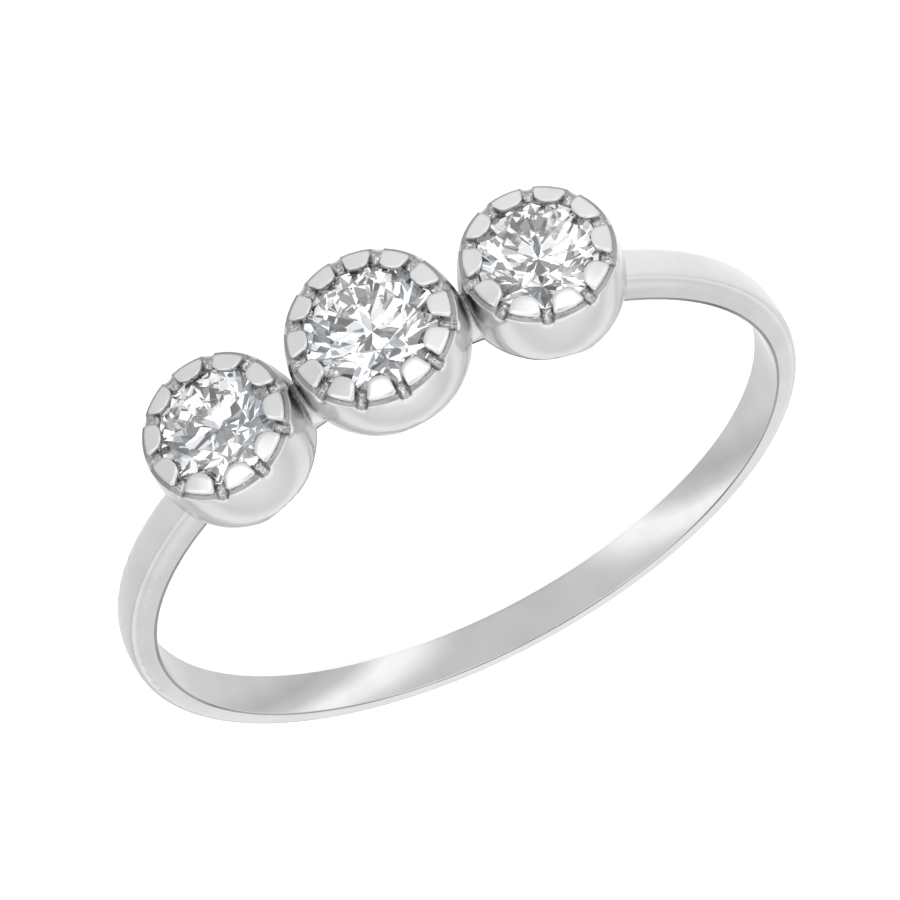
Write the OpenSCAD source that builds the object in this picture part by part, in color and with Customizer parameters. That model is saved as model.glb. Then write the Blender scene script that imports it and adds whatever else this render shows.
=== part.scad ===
// Three stone ring: a thin band and a row of three collet cups, each with a round stone.
// The head faces -Y and the finger goes in from above. The ring lies on its side on the
// plane Z = 0, on the side of the middle cup and on the back of the band.

/* [Finger hole] */
// Diameter of the finger hole
finger_d = 17; // [14:0.5:22]

/* [Band] */
// Width of the band at the back
back_w = 1.25; // [1:0.05:2]
// Width of the band where it reaches the cups
head_w = 1.08; // [0.8:0.02:1.6]
// Thickness of the band at the back
back_t = 0.72; // [0.6:0.01:1.2]
// Thickness of the band where it reaches the cups
head_t = 0.68; // [0.6:0.02:1.4]
// Radius of the dome across the outside of the band
dome_r = 1.9; // [1.4:0.1:4]
// Radius of the softened outer edges of the band
edge_r = 0.28; // [0.16:0.01:0.32]

/* [Middle cup] */
// Diameter of the middle stone
mid_stone_d = 3; // [2.6:0.05:3.6]
// Width of the middle cup's rim outside its stone
mid_wall = 0.4; // [0.34:0.005:0.5]
// Swell of the middle cup's wall beyond its rim
mid_swell = 0.13; // [0.04:0.01:0.25]
// Depth of the widest place below the top of the middle cup's wall
mid_belly_at = 0.8; // [0.5:0.05:1]
// Room between the middle stone's point and the finger hole
point_room = 0.09; // [0.05:0.01:0.6]
// Number of tabs around the middle stone
mid_tabs = 12; // [8:1:12]
// Turn of the middle stone in its cup, in degrees
mid_turn = 2; // [0:1:44]

/* [Side cups] */
// Diameter of a side stone
side_stone_d = 2.7; // [2.4:0.05:3]
// Width of a side cup's rim outside its stone
side_wall = 0.37; // [0.34:0.005:0.5]
// Swell of a side cup's wall beyond its rim
side_swell = 0.14; // [0.04:0.01:0.25]
// Depth of the widest place below the top of a side cup's wall
side_belly_at = 1.1; // [0.8:0.05:1.4]
// How much lower the top of a side cup's wall lies
side_drop = 0.6; // [0.4:0.02:0.8]
// Outward lean of a side cup, in degrees
side_lean = 5.4; // [0:0.2:8]
// Distance between two cups at their widest
cup_gap = 0.04; // [0:0.01:0.1]
// Number of tabs around a side stone
side_tabs = 10; // [8:1:10]
// Turn of the side stones in their cups, in degrees
side_turn = 26; // [0:1:44]

/* [Cup walls] */
// Radius of the cups' slow inward curve below their widest place
lower_curve_r = 1.8; // [1.6:0.1:4]
// Radius of the softened lower edges of the cups
foot_r = 0.4; // [0.2:0.05:0.65]
// Share of a stone's diameter that is open below it
open_share = 0.76; // [0.6:0.02:0.8]
// Width of the solder between two cups, at the finger hole
solder_w = 1.25; // [0.6:0.05:1.4]
// Width of the solder at its top
solder_top_w = 0.3; // [0.2:0.02:0.5]
// Depth of the solder's top below a side cup's ledge
solder_at = 0.25; // [0.1:0.05:0.6]
// Depth by which the solder reaches into a cup's wall
solder_bite = 0.24; // [0.2:0.02:0.3]

/* [Tabs and seats] */
// Overlap of the tabs on a stone's edge
tab_grip = 0.16; // [0.08:0.01:0.2]
// Width of the ledge outside the tabs
ledge_w = 0.1; // [0.04:0.01:0.14]
// Height of the tabs' outer edge above the ledge
tab_step = 0.12; // [0.06:0.01:0.2]
// Slope of the tabs' flat tops, in degrees
tab_slope = 17; // [5:1:25]
// Thickness of the tabs at their inner edge
tab_t = 0.13; // [0.08:0.01:0.2]
// Radius of the tabs' rounded inner ends
nose_r = 0.38; // [0.36:0.01:0.5]
// Depth of the flat at the tip of a rounded end
nose_flat = 0.01; // [0.01:0.01:0.06]
// Radius of the tabs' rounded outer corners
corner_r = 0.13; // [0.06:0.01:0.16]
// Width of the grooves between the tabs
groove_w = 0.28; // [0.2:0.02:0.32]
// Depth of the grooves' round bottom below the ledge, at the cup's wall
groove_depth = 0.14; // [0.1:0.01:0.25]
// Outward slope of the grooves, in degrees
groove_slope = 18; // [5:1:30]
// Gap between a stone and its seat
seat_gap = 0.03; // [0.02:0.01:0.06]

/* [Stones] */
// Table diameter, as a share of the stone's diameter
table_share = 0.57; // [0.53:0.01:0.62]
// Slope of the main crown facets, in degrees
crown_angle = 34.5; // [32:0.5:36]
// Slope of the main pavilion facets, in degrees
pavilion_angle = 41; // [40:0.2:42]
// Thickness of the stone's girdle, as a share of its diameter
girdle_share = 0.02; // [0.01:0.005:0.03]
// Length of the star facets, as a share of the crown's width
star_share = 0.5; // [0.45:0.05:0.6]
// Length of the lower half facets, as a share of the pavilion's width
lower_share = 0.77; // [0.7:0.01:0.85]

/* [Hidden] */
$fn = 96;
metal = [0.86, 0.87, 0.88];
crystal = [0.8, 0.9, 1];
finger_r = finger_d / 2;
// Length by which a cutting shape runs past what it cuts
over = 0.5;
// Depth to which a cup's shape is made before its foot is trimmed
cup_depth = finger_r / 2;
// A brilliant has eight main facets above and below
mains = 8;
main_step = 360 / mains;

// The band changes in thickness and width towards the head: its outside is a larger circle
// set off from the middle of the hole, and its two sides lean in towards the head.
outer_r = finger_r + (back_t + head_t) / 2;
outer_shift = (head_t - back_t) / 2;
mean_w = (back_w + head_w) / 2;
side_tilt = atan((back_w - head_w) / 4 / outer_r);
// Centre of the circle that softens the band's edge, and where the dome runs into it
edge_y = mean_w / 2 - edge_r;
edge_x = outer_r - dome_r + sqrt(pow(dome_r - edge_r, 2) - pow(edge_y, 2));
dome_y = edge_y * dome_r / (dome_r - edge_r);

// A cup's form is [stone radius, wall, swell, belly depth, tabs, turn], and a cup is its form
// with [place along the row, distance of its rim from the middle of the hole, lean]
mid_form = [mid_stone_d / 2, mid_wall, mid_swell, mid_belly_at, mid_tabs, mid_turn];
side_form = [side_stone_d / 2, side_wall, side_swell, side_belly_at, side_tabs, side_turn];
function stone_r(c) = c[0];
function rim_r(c) = stone_r(c) + c[1];
function swell(c) = c[2];
function belly_r(c) = rim_r(c) + swell(c);
function belly_at(c) = c[3];
function tabs(c) = c[4];
function turn(c) = c[5];
function row_x(c) = c[6];
function rim_y(c) = c[7];
function lean(c) = c[8];

function tab_out(c) = rim_r(c) - ledge_w;
function tab_in(c) = stone_r(c) - tab_grip;
function tab_top(c) = tab_step + (tab_out(c) - tab_in(c)) * tan(tab_slope);
function girdle_h(c) = 2 * stone_r(c) * girdle_share;
function crown_h(c) = stone_r(c) * (1 - table_share) * tan(crown_angle);
function pavilion_h(c) = stone_r(c) * tan(pavilion_angle);
// Height of the girdle's top above the ledge, with the crown under the tabs
function girdle_at(c) = tab_top(c) - tab_t - seat_gap - (tab_grip + seat_gap) * tan(crown_angle);
function point_depth(c) = pavilion_h(c) + girdle_h(c) - girdle_at(c);

row_pitch = belly_r(mid_form) + belly_r(side_form) + cup_gap;
mid_rim_y = finger_r + point_room + point_depth(mid_form);
mid_cup = concat(mid_form, [0, mid_rim_y, 0]);
function side_cup(s) = concat(side_form, [s * row_pitch, mid_rim_y - side_drop, s * side_lean]);

// At rest the middle cup's side and the back of the band touch the same plane
belly_y = rim_y(mid_cup) - belly_at(mid_cup);
back_y = edge_x - outer_shift;
rest_lean = atan((belly_r(mid_cup) - back_w / 2) / (belly_y + back_y));
floor_depth = belly_r(mid_cup) * cos(rest_lean) - belly_y * sin(rest_lean);
front_y = rim_y(mid_cup) + girdle_at(mid_cup) + crown_h(mid_cup);
centre_y = (front_y - outer_r + outer_shift) / 2;

// Leans the ring as it lies, with the middle of its plan at the origin and its floor at Z = 0
module at_rest() {
    translate([0, centre_y, floor_depth]) rotate([-rest_lean, 0, 0]) children();
}

// Puts a shape made about +Z, with the top of the cup's wall at 0, in its place in the row
module in_cup(c) {
    translate([row_x(c), -rim_y(c), 0]) rotate([90, 0, lean(c)]) children();
}

// The lower half of the band's section, with some spare above the middle plane
module band_profile() {
    inside = finger_r - over;
    intersection() {
        translate([outer_r - dome_r, 0]) circle(dome_r);
        translate([inside, -dome_y]) square([outer_r, dome_y + over]);
    }
    translate([inside, -mean_w / 2]) square([edge_x - inside, mean_w / 2]);
    translate([edge_x, -edge_y]) circle(edge_r);
}

// The half of the band below its middle plane
module band_half() {
    reach = 2 * outer_r;
    intersection() {
        translate([0, -outer_shift, 0]) rotate([-side_tilt, 0, 0]) rotate_extrude() band_profile();
        translate([-reach, -reach, -reach]) cube([2 * reach, 2 * reach, reach]);
    }
}

module finger_hole() {
    cylinder(r = finger_r, h = finger_d, center = true);
}

// The band ends inside the side cups, at the openings under their stones
module band() {
    difference() {
        union() {
            band_half();
            mirror([0, 0, 1]) band_half();
        }
        finger_hole();
        translate([-row_pitch, -finger_d, -back_w]) cube([2 * row_pitch, finger_d, 2 * back_w]);
    }
}

// Half of a cup's section: it swells to its widest place and draws in slowly below it
module barrel_profile(c) {
    upper_curve_r = (pow(belly_at(c), 2) + pow(swell(c), 2)) / (2 * swell(c));
    intersection() {
        translate([belly_r(c) - upper_curve_r, -belly_at(c)]) circle(upper_curve_r);
        translate([0, -belly_at(c)]) square([belly_r(c) + over, belly_at(c)]);
    }
    intersection() {
        translate([belly_r(c) - lower_curve_r, -belly_at(c)]) circle(lower_curve_r);
        translate([0, -cup_depth]) square([belly_r(c) + over, cup_depth - belly_at(c)]);
    }
}

// The room that a cup may fill about the finger hole, with softened edges at its foot
module foot_room(c) {
    wide = belly_r(c) + over;
    straight = belly_r(c) - foot_r;
    rotate_extrude() {
        translate([finger_r, -straight]) square([foot_r, 2 * straight]);
        translate([finger_r + foot_r, -wide]) square([finger_r, 2 * wide]);
        for (s = [-1, 1])
            translate([finger_r + foot_r, s * straight]) circle(foot_r);
    }
}

// A tab seen from above: a round inner end and two round outer corners
module tab_plan(c) {
    half = tab_out(c) * sin(180 / tabs(c)) - groove_w / 2;
    inner = tab_out(c) - corner_r;
    intersection() {
        translate([tab_in(c) + nose_r - nose_flat, 0]) circle(nose_r);
        union() {
            translate([0, -half]) square([inner, 2 * half]);
            translate([0, corner_r - half]) square([tab_out(c), 2 * (half - corner_r)]);
            for (s = [-1, 1])
                translate([inner, s * (half - corner_r)]) circle(corner_r);
        }
    }
}

// Flat-topped tabs that lean in over the stone
module tab_ring(c) {
    peak = tab_step + tab_out(c) * tan(tab_slope);
    intersection() {
        rotate_extrude()
            polygon([[0, -over], [tab_out(c), -over], [tab_out(c), tab_step], [0, peak]]);
        for (i = [0 : tabs(c) - 1])
            rotate((i + 0.5) * 360 / tabs(c)) translate([0, 0, -over / 2])
                linear_extrude(peak + over) tab_plan(c);
    }
}

module cup(c) {
    intersection() {
        in_cup(c) rotate_extrude() barrel_profile(c);
        foot_room(c);
    }
    in_cup(c) tab_ring(c);
}

// The solder that joins the middle cup to a side cup, drawn in towards its top
module solder(s) {
    near = belly_r(mid_cup) - solder_bite;
    far = row_pitch - belly_r(side_cup(s)) + solder_bite;
    foot = solder_w / 2;
    tip = solder_top_w / 2;
    top = solder_at - rim_y(side_cup(s));
    difference() {
        translate([s > 0 ? near : -far, 0, 0]) rotate([90, 0, 90]) linear_extrude(far - near)
            polygon([[0, -foot], [0, foot], [-finger_r, foot], [top, tip], [top, -tip], [-finger_r, -foot]]);
        finger_hole();
    }
}

// What is cut out for a stone: the opening between the tabs, the seat and the hole below it
module seat(c) {
    wall = stone_r(c) + seat_gap;
    open_r = stone_r(c) * open_share;
    upper = girdle_at(c) + seat_gap;
    lower = girdle_at(c) - girdle_h(c) - seat_gap;
    top = tab_top(c) + over;
    rotate_extrude()
        polygon([[0, -cup_depth], [open_r, -cup_depth],
                 [open_r, lower - (wall - open_r) * tan(pavilion_angle)], [wall, lower],
                 [wall, upper], [tab_in(c), upper + (wall - tab_in(c)) * tan(crown_angle)],
                 [tab_in(c), top], [0, top]]);
}

// The round-bottomed grooves that part the tabs and run out down the wall
module grooves(c) {
    half = groove_w / 2;
    inward = rim_r(c) - tab_in(c) + groove_w;
    for (i = [0 : tabs(c) - 1])
        rotate(i * 360 / tabs(c)) translate([rim_r(c), 0, half - groove_depth])
            rotate([0, groove_slope, 0]) rotate([90, 0, 90]) translate([0, 0, -inward])
                linear_extrude(inward + over / 2) {
                    circle(half);
                    translate([-half, 0]) square([groove_w, 2 * over]);
                }
}

module ring_mount() {
    cups = [mid_cup, side_cup(-1), side_cup(1)];
    color(metal) at_rest() difference() {
        union() {
            band();
            for (c = cups) cup(c);
            for (s = [-1, 1]) solder(s);
        }
        for (c = cups) in_cup(c) {
            seat(c);
            grooves(c);
        }
    }
}

// A point of a round stone, at a radius, a turn in main facets and a height
function point(r, n, z) = [r * cos(n * main_step), r * sin(n * main_step), z];

// A round brilliant cut: table, stars, kites and halves above the girdle, halves and mains below.
// The girdle's top is at height 0.
module brilliant(r, crown, pavilion, girdle) {
    table_r = r * table_share;
    table_flat = table_r * cos(main_step / 2);
    star_r = table_flat + star_share * (r - table_flat);
    star_z = crown * (r - star_r * cos(main_step / 2)) / (r - table_r);
    lower_r = r * (1 - lower_share);
    lower_z = -girdle - pavilion * (1 - lower_r * cos(main_step / 2) / r);
    n = mains;
    all = [0 : n - 1];
    rim = [0 : 2 * n - 1];
    points = concat(
        [for (i = all) point(table_r, i, crown)],
        [for (i = all) point(star_r, i + 0.5, star_z)],
        [for (i = rim) point(r, i / 2, 0)],
        [for (i = rim) point(r, i / 2, -girdle)],
        [for (i = all) point(lower_r, i + 0.5, lower_z)],
        [[0, 0, -girdle - pavilion]]);
    // Where each kind of corner starts in the list of points
    star = n;
    top = 2 * n;
    bottom = 4 * n;
    lower = 6 * n;
    culet = 7 * n;
    faces = concat(
        [[for (i = all) n - 1 - i]],
        [for (i = all) [i, (i + 1) % n, star + i]],
        [for (i = all) [i, star + i, top + 2 * i, star + (i + n - 1) % n]],
        [for (i = all) [star + i, top + 2 * i + 1, top + 2 * i]],
        [for (i = all) [star + i, top + (2 * i + 2) % (2 * n), top + 2 * i + 1]],
        [for (i = rim) [top + i, top + (i + 1) % (2 * n), bottom + (i + 1) % (2 * n), bottom + i]],
        [for (i = all) [bottom + 2 * i, bottom + 2 * i + 1, lower + i]],
        [for (i = all) [bottom + 2 * i + 1, bottom + (2 * i + 2) % (2 * n), lower + i]],
        [for (i = all) [bottom + 2 * i, lower + i, culet, lower + (i + n - 1) % n]]);
    polyhedron(points, faces);
}

module stone(c) {
    color(crystal) at_rest() in_cup(c) translate([0, 0, girdle_at(c)]) rotate(turn(c))
        brilliant(stone_r(c), crown_h(c), pavilion_h(c), girdle_h(c));
}

module middle_stone() {
    stone(mid_cup);
}

module left_stone() {
    stone(side_cup(-1));
}

module right_stone() {
    stone(side_cup(1));
}

ring_mount();
middle_stone();
left_stone();
right_stone();
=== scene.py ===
"""Three stone ring: materials, floor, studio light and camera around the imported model."""
from math import cos, radians, sin

import bmesh
import bpy
from mathutils import Matrix, Vector

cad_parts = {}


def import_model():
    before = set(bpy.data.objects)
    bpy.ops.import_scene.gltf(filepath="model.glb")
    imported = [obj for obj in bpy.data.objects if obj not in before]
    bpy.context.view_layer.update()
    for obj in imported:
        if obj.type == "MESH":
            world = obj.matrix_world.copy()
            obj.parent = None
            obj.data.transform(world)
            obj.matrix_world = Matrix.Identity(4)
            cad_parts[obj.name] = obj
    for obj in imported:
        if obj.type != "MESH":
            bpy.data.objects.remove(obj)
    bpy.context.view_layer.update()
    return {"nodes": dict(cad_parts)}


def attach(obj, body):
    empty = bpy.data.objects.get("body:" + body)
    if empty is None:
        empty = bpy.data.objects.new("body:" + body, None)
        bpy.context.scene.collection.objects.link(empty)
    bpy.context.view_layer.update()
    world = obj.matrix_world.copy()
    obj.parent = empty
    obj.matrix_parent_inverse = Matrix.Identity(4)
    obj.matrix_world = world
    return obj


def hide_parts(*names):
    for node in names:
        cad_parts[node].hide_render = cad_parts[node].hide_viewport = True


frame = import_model()

# Millimetres to metres. Lengths are in millimetres unless a comment says otherwise.
MM = 0.001

# The camera at the photograph's angle to the ring, in the ring's frame, with its limits in metres
CAMERA_AT = (-0.2062, -49.21, 30.1881)
CAMERA_RIGHT = (-0.882217, 0.245102, 0.402017)
CAMERA_UP = (-0.47084, -0.461831, -0.751679)
LENS = 91.366
SENSOR = 36.0
NEAREST = 0.001
FARTHEST = 10.0

# The ring as it lies, in the sizes of its source
REST_LEAN = radians(4.43977)
SIDE_LEAN = radians(5.4)
RING_MIDDLE = Vector((0.0, 0.588613, 1.31297))
INNER_RADIUS = 8.5
BAND_MIDDLE = 8.8
# Each cup by its place along the row, its rim's height over the middle of the finger hole, its
# lean and its rim's radius
CUPS = [
    {"across": 0.0, "rise": 9.984, "lean": 0.0, "rim": 1.9},
    {"across": -3.93, "rise": 9.384, "lean": -SIDE_LEAN, "rim": 1.72},
    {"across": 3.93, "rise": 9.384, "lean": SIDE_LEAN, "rim": 1.72},
]
# The floors of a cup's grooves, and its ledge, lie within reach of this height from its rim
GROOVE_MIDDLE = -0.1
GROOVE_REACH = 0.18
# How far inside the rim the grooves' floors and the ledge begin
GROOVE_IN = 0.1
LEDGE_IN = 0.008
# A painted dark line of shade round the finger hole's edge, by its distance from the hole's axis
EDGE_LINE = 8.542
EDGE_LINE_REACH = 0.036
# The Y values between which the head turns into the band
HEAD_END = -6.5
HEAD_START = -5.0

# The copy of the metal's mesh. Points this close are one point.
SAME_POINT = 0.0001
# Triangles lower than this are needles. One joins its neighbour where the faces around it turn by
# less than this angle.
NEEDLE = 0.026
SAME_WAY = radians(36)
# Faces that meet at less than this angle shade as one
TRUE_EDGE = radians(50)
# How far the larger faces lead in that shading, from 50, not at all, to 100
LARGE_FACE_WEIGHT = 95

# The metal's tones, and the ramps that choose them: pairs of a place on the ramp and its tone
METAL = (0.63, 0.632, 0.63)
METAL_DARK = (0.595, 0.597, 0.597)
# Painted shade: a dark line on each cup's ledge, the step between its tabs and its wall
LEDGE_PAINTED_SHADE = (0.3, 0.3, 0.3, 1.0)
HAZE_TONES = [(0.35, METAL_DARK), (0.6, METAL)]
# Grain on the grooves' floors, darkened as painted shade
SHADED_GRAIN_TONES = [(0.34, 0.2), (0.5, 0.36), (0.62, 0.56), (0.7, 0.9)]
# Painted shade in crevices, mottled
CREVICE_SHADE_TONES = [(0.34, 0.24), (0.66, 0.5)]
# Painted shade along the finger hole's edge
EDGE_SHADE_TONES = [(0.4, 0.07), (0.56, 0.3)]
# How open a place is, to how much painted shade it gets as a crevice
SHADE_BY_SHELTER = [(0.42, 1.0), (0.72, 0.0)]
# Sizes of the metal's patterns, as noise scales over metres
HAZE_SCALE = 900.0
SCRATCH_SCALE = 9000.0
GRAIN_SCALE = 16000.0
CREVICE_SCALE = 12000.0
EDGE_SCALE = 260.0
GRAIN_ROUGHNESS = 0.7
# In metres: how far off a wall the painted shade of a crevice reaches, how far the shine of an edge
# is softened on the head and on the band, and how deep the scratches are
CREVICE = 0.00028
HEAD_SOFTNESS = 0.00014
BAND_SOFTNESS = 0.00003
SCRATCH_DEPTH = 0.00001
SCRATCH_STRENGTH = 0.05
# Roughness over the scratches' noise, and what the outside adds to it
SCRATCH_RANGE = (0.3, 0.75)
ROUGHNESS = (0.08, 0.16)
OUTSIDE_ROUGHER = 0.08
CREVICE_SAMPLES = 6
EDGE_SAMPLES = 8

# The stones
STONE_IOR = 2.42
TINT_SCALE = 700.0
TINT_TONES = [(0.4, (0.95, 0.97, 1.0)), (0.6, (1.0, 1.0, 0.99))]
# Direction that the row of stones faces, and how far towards it a lower facet's inside has to face
HEAD_WAY = (0.0, -0.997, 0.077)
LOWER_FACET = 0.3
FACET_MIRROR = (0.9, 0.9, 0.9, 1.0)
# Size and choice of the lower facets' tones, and the strength of the painted glow in them
FACET_SCALE = 6.0
FACET_SEED = 27.0
FACET_GLOW_TONES = [(0.3, 0.05), (0.7, 1.0)]
FACET_GLOW_STRENGTH = 0.02
# After this many turns light ends in a painted glow of a facet's tone
MOST_TURNS = 3.5
ENDED_GLOW_TONES = [(0.25, 0.0), (0.8, 0.9)]
ENDED_GLOW_STRENGTH = 1.3
# Size, choice, tones and strength of the light and dark patches that the stones gather
PATCH_SCALE = 5.0
PATCH_SEED = 10.0
PATCH_TONES = [
    (0.0, (0.0, 0.0, 0.0)),
    (0.3, (0.01, 0.014, 0.02)),
    (0.44, (0.09, 0.11, 0.13)),
    (0.56, (0.3, 0.31, 0.32)),
    (0.7, (0.66, 0.66, 0.66)),
    (0.82, (1.0, 1.0, 1.0)),
]
PATCH_LIGHT = 2.2

# The floor, with its size in metres. Part of its white is its own light, which keeps shadows faint.
FLOOR_SIZE = 2.0
FLOOR_TONES = [(0.3, 0.4), (0.7, 0.42)]
FLOOR_GLOW = 0.8
FLOOR_ROUGHNESS = 0.9
FLOOR_SCALE = 40.0
# Painted reflection: the glow that the floor shows only to light off the metal, from the head, 0,
# to
# the back of the band, 1: soft bands inside the ring, and an even slope outside it
INNER_REFLECTION_BANDS = [
    (0.0, 0.52),
    (0.5, 0.60),
    (0.80, 0.62),
    (0.877, 0.48),
    (0.915, 0.6),
    (0.945, 1.0),
    (0.965, 0.95),
    (0.987, 0.6),
    (1.0, 0.57),
]
OUTER_REFLECTION_SLOPE = [(0.2, 0.76), (0.6, 0.66), (1.0, 0.54)]
# The painted reflection's tone outside the ring is changed from one side of the ring to the other
SIDE_REACH = 8.0
REFLECTION_SIDE_CHANGE = (1.12, 0.88)
REFLECTION_BAND_LIGHT = 1.5

# The tent of light: its tones by height, what is added ahead of the ring, and its strength
TENT_TONES = [
    (0.0, 0.35),
    (0.06, 0.86),
    (0.28, 0.86),
    (0.4, 0.68),
    (0.5, 0.7),
    (0.75, 0.84),
    (1.0, 0.7),
]
AHEAD_TONES = [(0.15, 0.0), (0.62, 0.4)]
TENT_LIGHT = 1.4
# Direction from the ring to the dark opening that the photographer looks through, and its edge
OPENING = (0.0, -0.852, 0.523)
OPENING_TONES = [(0.965, 1.0), (0.985, 0.2)]
# The lamp over the ring, with its power in watts
LAMP_AT = (0, 40, 260)
LAMP_SIZE = 220
LAMP_POWER = 0.06

# How often light may turn, off metal and in all
GLOSSY_BOUNCES = 10
MOST_BOUNCES = 16


def turned(way):
    """A direction or place about the ring's middle, as the ring leans at rest."""
    return Matrix.Rotation(-REST_LEAN, 3, "X") @ Vector(way)


class Nodes:
    """A short way to write a node tree."""

    def __init__(self, tree):
        self.tree = tree
        self.tree.nodes.clear()

    def add(self, kind, inputs=None, **settings):
        node = self.tree.nodes.new(kind)
        for name, value in settings.items():
            setattr(node, name, value)
        for name, value in (inputs or {}).items():
            socket = node.inputs[name]
            if isinstance(value, bpy.types.NodeSocket):
                self.tree.links.new(value, socket)
            else:
                socket.default_value = value
        return node

    def ramp(self, factor, stops):
        node = self.add("ShaderNodeValToRGB", {"Fac": factor})
        points = node.color_ramp.elements
        while len(points) < len(stops):
            points.new(0.5)
        for point, (at, tone) in zip(points, stops):
            point.position = at
            point.color = (*tone, 1) if hasattr(tone, "__len__") else (tone, tone, tone, 1)
        return node.outputs["Color"]

    def noise(self, where, scale, detail=3.0, roughness=0.5):
        return self.add(
            "ShaderNodeTexNoise",
            {"Vector": where, "Scale": scale, "Detail": detail, "Roughness": roughness},
        ).outputs["Fac"]

    def cells(self, direction, scale, seed):
        """A value from 0 to 1 for each cell of directions, as if by chance."""
        colour = self.add(
            "ShaderNodeTexVoronoi",
            {"Vector": direction, "W": seed, "Scale": scale, "Randomness": 1.0},
            voronoi_dimensions="4D",
        ).outputs["Color"]
        return self.add("ShaderNodeSeparateColor", {"Color": colour}).outputs["Red"]

    def maths(self, operation, a, b):
        return self.add("ShaderNodeMath", {0: a, 1: b}, operation=operation).outputs[0]

    def near(self, value, middle, reach):
        """1 where a length is within reach of the middle, else 0."""
        inputs = {0: value, 1: middle * MM, 2: reach * MM}
        return self.add("ShaderNodeMath", inputs, operation="COMPARE").outputs[0]

    def span(self, value, low, high, first=0.0, last=1.0):
        """The range from low to high taken evenly to the one from first to last."""
        return self.add(
            "ShaderNodeMapRange",
            {"Value": value, "From Min": low, "From Max": high, "To Min": first, "To Max": last},
        ).outputs["Result"]

    def vector(self, operation, a, b=None):
        inputs = {0: a} if b is None else {0: a, 1: b}
        node = self.add("ShaderNodeVectorMath", inputs, operation=operation)
        return node.outputs["Value" if operation in ("DOT_PRODUCT", "LENGTH") else "Vector"]

    def part(self, vector, axis):
        return self.add("ShaderNodeSeparateXYZ", {"Vector": vector}).outputs[axis]

    def mix(self, factor, a, b, blend_type="MIX"):
        return self.add(
            "ShaderNodeMixRGB",
            {"Fac": factor, "Color1": a, "Color2": b},
            blend_type=blend_type,
        ).outputs["Color"]

    def emission(self, tone, strength):
        return self.add("ShaderNodeEmission", {"Color": tone, "Strength": strength}).outputs[0]

    def background(self, tone, strength):
        return self.add("ShaderNodeBackground", {"Color": tone, "Strength": strength}).outputs[0]

    def mix_shader(self, factor, a, b):
        return self.add("ShaderNodeMixShader", {0: factor, 1: a, 2: b}).outputs[0]

    def place(self):
        return self.add("ShaderNodeTexCoord").outputs["Object"]

    def path(self, kind):
        return self.add("ShaderNodeLightPath").outputs[kind]

    def about(self, where, middle, way):
        """How far along an axis a place lies, and how far from it."""
        off = self.vector("SUBTRACT", where, tuple(middle * MM))
        height = self.vector("DOT_PRODUCT", off, tuple(way))
        square = self.vector("DOT_PRODUCT", off, off)
        beside = self.maths("SUBTRACT", square, self.maths("MULTIPLY", height, height))
        return height, self.maths("SQRT", beside, 0.0)

    def in_plan(self, where):
        """A place's way from the ring's middle in plan, and how far that is."""
        off = self.vector("SUBTRACT", where, (0, RING_MIDDLE.y * MM, 0))
        flat = self.vector("MULTIPLY", off, (1, 1, 0))
        return flat, self.vector("LENGTH", flat)

    def grooves(self, where, cup):
        """1 on the floors of a cup's grooves, else 0, and the same with its ledge: where shade is
        painted.
        """
        way = turned((sin(cup["lean"]), -cos(cup["lean"]), 0))
        middle = turned((cup["across"], -cup["rise"], 0)) + RING_MIDDLE
        height, radius = self.about(where, middle, way)
        low = self.near(height, GROOVE_MIDDLE, GROOVE_REACH)
        return [
            self.maths("MULTIPLY", low, self.maths("LESS_THAN", radius, (cup["rim"] - room) * MM))
            for room in (GROOVE_IN, LEDGE_IN)
        ]


def new_material(name):
    material = bpy.data.materials.new(name)
    material.use_nodes = True
    return material, Nodes(material.node_tree)


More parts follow.
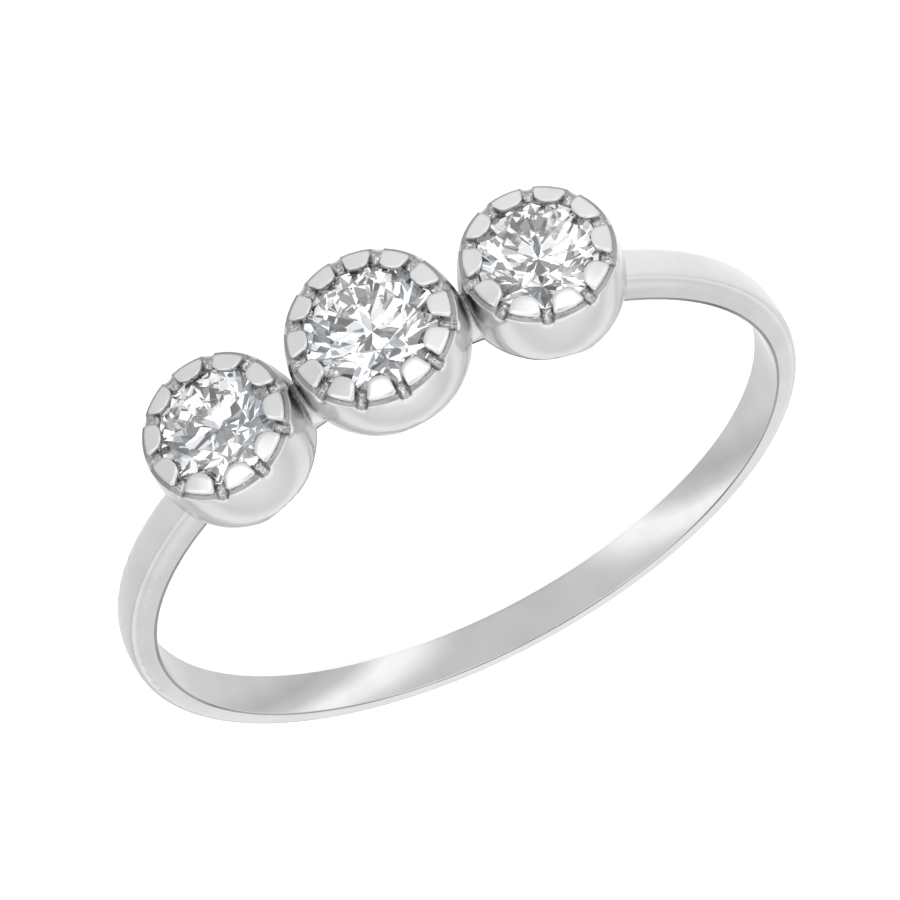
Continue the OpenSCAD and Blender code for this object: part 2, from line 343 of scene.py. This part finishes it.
def white_metal():
    """Polished white gold with faint haze and scratches, and painted shade in its hollows and at
    edges.
    """
    material, n = new_material("white_metal_polished")
    where = n.place()
    scratches = n.noise(where, SCRATCH_SCALE, detail=4.0)
    colour = n.ramp(n.noise(where, HAZE_SCALE), HAZE_TONES)
    shaded_grain, crevice_shade = [
        n.ramp(n.noise(where, scale, detail=2.0, roughness=GRAIN_ROUGHNESS), tones)
        for scale, tones in ((GRAIN_SCALE, SHADED_GRAIN_TONES), (CREVICE_SCALE, CREVICE_SHADE_TONES))
    ]
    # Painted shade: the colour darkens where ambient occlusion finds a place sheltered
    openness = n.add(
        "ShaderNodeAmbientOcclusion",
        {"Distance": CREVICE},
        samples=CREVICE_SAMPLES,
        only_local=False,
    ).outputs["AO"]
    colour = n.mix(n.ramp(openness, SHADE_BY_SHELTER), colour, crevice_shade)
    # The groove floors take a grain darkened as painted shade, the ledges a smooth painted shade
    # line
    for cup in CUPS:
        groove, ledge = n.grooves(where, cup)
        colour = n.mix(groove, n.mix(ledge, colour, LEDGE_PAINTED_SHADE), shaded_grain)
    # Painted shade: a dark line round the finger hole's edge
    from_axis = n.about(where, RING_MIDDLE, turned((0, 0, 1)))[1]
    edge = n.near(from_axis, EDGE_LINE, EDGE_LINE_REACH)
    colour = n.mix(edge, colour, n.ramp(n.noise(where, EDGE_SCALE, detail=1.0), EDGE_SHADE_TONES))

    outside = n.maths("GREATER_THAN", n.in_plan(where)[1], BAND_MIDDLE * MM)
    rougher = n.maths("MULTIPLY", outside, OUTSIDE_ROUGHER)
    rough = n.maths("ADD", n.span(scratches, *SCRATCH_RANGE, *ROUGHNESS), rougher)

    head = (HEAD_END * MM, HEAD_START * MM, HEAD_SOFTNESS, BAND_SOFTNESS)
    soft = n.add(
        "ShaderNodeBevel",
        {"Radius": n.span(n.part(where, "Y"), *head)},
        samples=EDGE_SAMPLES,
    ).outputs["Normal"]
    bump = n.add(
        "ShaderNodeBump",
        {
            "Height": scratches,
            "Strength": SCRATCH_STRENGTH,
            "Distance": SCRATCH_DEPTH,
            "Normal": soft,
        },
    ).outputs["Normal"]
    shader = n.add(
        "ShaderNodeBsdfPrincipled",
        {"Base Color": colour, "Metallic": 1.0, "Roughness": rough, "Normal": bump},
    )
    n.add("ShaderNodeOutputMaterial", {"Surface": shader.outputs["BSDF"]})
    return material


def stone():
    """A clear brilliant, with a trace of cool and warm from place to place."""
    material, n = new_material("stone_brilliant")
    shader = n.add(
        "ShaderNodeBsdfPrincipled",
        {
            "Base Color": n.ramp(n.noise(n.place(), TINT_SCALE, detail=1.0), TINT_TONES),
            "Roughness": 0.0,
            "IOR": STONE_IOR,
            "Transmission Weight": 1.0,
        },
    )
    # Light inside the stone turns back at its lower facets, as in a well cut stone seen from above
    face = n.add("ShaderNodeNewGeometry").outputs
    facing = n.vector("DOT_PRODUCT", face["True Normal"], HEAD_WAY)
    lower = n.maths("GREATER_THAN", facing, LOWER_FACET)
    inside = n.maths("MULTIPLY", lower, face["Backfacing"])
    mirror = n.add("ShaderNodeBsdfAnisotropic", {"Color": FACET_MIRROR, "Roughness": 0.0})
    # Each lower facet gives a little painted glow, standing for light from behind, more in some
    # than in others
    pick = n.cells(face["True Normal"], FACET_SCALE, FACET_SEED)
    painted_glow = n.emission(n.ramp(pick, FACET_GLOW_TONES), FACET_GLOW_STRENGTH)
    lit = n.add("ShaderNodeAddShader", {0: mirror.outputs["BSDF"], 1: painted_glow}).outputs["Shader"]
    # Light that has turned back and forth many times ends in a painted glow of the facet's tone
    ended_glow = n.emission(n.ramp(pick, ENDED_GLOW_TONES), ENDED_GLOW_STRENGTH)
    turns = n.maths("GREATER_THAN", n.path("Ray Depth"), MOST_TURNS)
    facets = n.mix_shader(turns, lit, ended_glow)
    whole = n.mix_shader(inside, shader.outputs["BSDF"], facets)
    n.add("ShaderNodeOutputMaterial", {"Surface": whole})
    return material


def floor():
    """A plain white light table, with bands painted for the metal's reflections. Stones' light goes
    through.
    """
    material, n = new_material("floor_white")
    where = n.place()
    sheet = n.add(
        "ShaderNodeBsdfPrincipled",
        {
            "Base Color": n.ramp(n.noise(where, FLOOR_SCALE), FLOOR_TONES),
            "Roughness": FLOOR_ROUGHNESS,
            "Emission Color": (1, 1, 1, 1),
            "Emission Strength": FLOOR_GLOW,
        },
    )
    # Painted reflection: glowing bands that only rays off the metal see
    flat, reach = n.in_plan(where)
    back = n.span(n.part(n.vector("NORMALIZE", flat), "Y"), -1.0, 1.0)
    side = n.span(n.part(where, "X"), -SIDE_REACH * MM, SIDE_REACH * MM, *REFLECTION_SIDE_CHANGE)
    outer_reflection = n.maths("MULTIPLY", n.ramp(back, OUTER_REFLECTION_SLOPE), side)
    within = n.maths("LESS_THAN", reach, INNER_RADIUS * MM)
    painted_reflection = n.emission(n.mix(within, outer_reflection, n.ramp(back, INNER_REFLECTION_BANDS)), REFLECTION_BAND_LIGHT)
    shown = n.mix_shader(n.path("Is Glossy Ray"), sheet.outputs["BSDF"], painted_reflection)
    clear = n.add("ShaderNodeBsdfTransparent").outputs["BSDF"]
    whole = n.mix_shader(n.path("Is Transmission Ray"), shown, clear)
    n.add("ShaderNodeOutputMaterial", {"Surface": whole})

    mesh = bpy.data.meshes.new("floor")
    half = FLOOR_SIZE / 2
    corners = [(-half, -half, 0), (half, -half, 0), (half, half, 0), (-half, half, 0)]
    mesh.from_pydata(corners, [], [(0, 1, 2, 3)])
    mesh.materials.append(material)
    piece = bpy.data.objects.new("floor", mesh)
    bpy.context.scene.collection.objects.link(piece)


def world():
    """A pale tent, brighter ahead of the stones. Light from stones finds patches instead."""
    scene = bpy.context.scene
    scene.world = bpy.data.worlds.new("tent")
    scene.world.use_nodes = True
    n = Nodes(scene.world.node_tree)
    where = n.add("ShaderNodeTexCoord").outputs["Generated"]
    ahead = n.ramp(n.maths("MULTIPLY", n.part(where, "Y"), -1.0), AHEAD_TONES)
    tent = n.mix(1.0, n.ramp(n.part(where, "Z"), TENT_TONES), ahead, "ADD")
    opening = n.ramp(n.vector("DOT_PRODUCT", where, OPENING), OPENING_TONES)
    around = n.background(n.mix(1.0, tent, opening, "MULTIPLY"), TENT_LIGHT)
    pick = n.cells(where, PATCH_SCALE, PATCH_SEED)
    patches = n.background(n.ramp(pick, PATCH_TONES), PATCH_LIGHT)
    light = n.mix_shader(n.path("Is Transmission Ray"), around, patches)
    # The background itself is plain white
    plain = n.background((1, 1, 1, 1), 1.0)
    whole = n.mix_shader(n.path("Is Camera Ray"), light, plain)
    n.add("ShaderNodeOutputWorld", {"Surface": whole})


def overhead():
    """One large soft lamp over the ring, turned towards it."""
    lamp = bpy.data.lights.new("overhead", "AREA")
    lamp.shape = "RECTANGLE"
    lamp.size = lamp.size_y = LAMP_SIZE * MM
    lamp.energy = LAMP_POWER
    piece = bpy.data.objects.new("overhead", lamp)
    piece.location = Vector(LAMP_AT) * MM
    piece.rotation_mode = "QUATERNION"
    piece.rotation_quaternion = (-piece.location).to_track_quat("-Z", "Y")
    bpy.context.scene.collection.objects.link(piece)


def camera():
    data = bpy.data.cameras.new("camera")
    data.lens = LENS
    data.sensor_width = SENSOR
    data.clip_start = NEAREST
    data.clip_end = FARTHEST
    piece = bpy.data.objects.new("camera", data)
    right, up = Vector(CAMERA_RIGHT), Vector(CAMERA_UP)
    turn = Matrix((right, up, right.cross(up))).transposed()
    piece.matrix_world = Matrix.Translation(Vector(CAMERA_AT) * MM) @ turn.to_4x4()
    bpy.context.scene.collection.objects.link(piece)
    bpy.context.scene.camera = piece


def dress(piece, material):
    piece.data.materials.clear()
    piece.data.materials.append(material)


def join_needles(work):
    """Joins each needle-thin triangle, whose own direction is chance, to its longest neighbour."""
    # The sides are kept in the mesh's own order, so that each run joins them alike
    needles = {}
    for face in work.faces:
        longest = max(face.edges, key=lambda edge: edge.calc_length())
        tallest_area = NEEDLE * MM * longest.calc_length() / 2
        if face.calc_area() < tallest_area and longest.is_manifold:
            across = next(other for other in longest.link_faces if other is not face)
            beside = [
                other
                for edge in face.edges
                if edge is not longest
                for other in edge.link_faces
                if other is not face
            ]
            if all(across.normal.dot(other.normal) > cos(SAME_WAY) for other in beside):
                needles[longest] = True
    bmesh.ops.dissolve_edges(work, edges=list(needles), use_verts=False)


def polished(node, body):
    """The node's own solid, shaded smoothly between its true edges."""
    mesh = frame["nodes"][node].data.copy()
    mesh.name = node + "_polished"
    mesh.attributes.remove(mesh.attributes["custom_normal"])
    work = bmesh.new()
    work.from_mesh(mesh)
    bmesh.ops.remove_doubles(work, verts=work.verts, dist=SAME_POINT * MM)
    join_needles(work)
    for face in work.faces:
        face.smooth = True
    for edge in work.edges:
        edge.smooth = edge.calc_face_angle(0.0) < TRUE_EDGE
    work.to_mesh(mesh)
    work.free()
    piece = bpy.data.objects.new(node + "_polished", mesh)
    bpy.context.scene.collection.objects.link(piece)
    evened = piece.modifiers.new("evened", "WEIGHTED_NORMAL")
    evened.mode = "FACE_AREA"
    evened.weight = LARGE_FACE_WEIGHT
    evened.keep_sharp = True
    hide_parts(node)
    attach(piece, body)
    return piece


dress(polished("ring_mount", "root"), white_metal())
crystal = stone()
for name in ("middle_stone", "left_stone", "right_stone"):
    dress(frame["nodes"][name], crystal)

floor()
world()
overhead()
camera()
bpy.context.scene.view_settings.view_transform = "Standard"
bpy.context.scene.cycles.glossy_bounces = GLOSSY_BOUNCES
bpy.context.scene.cycles.max_bounces = MOST_BOUNCES
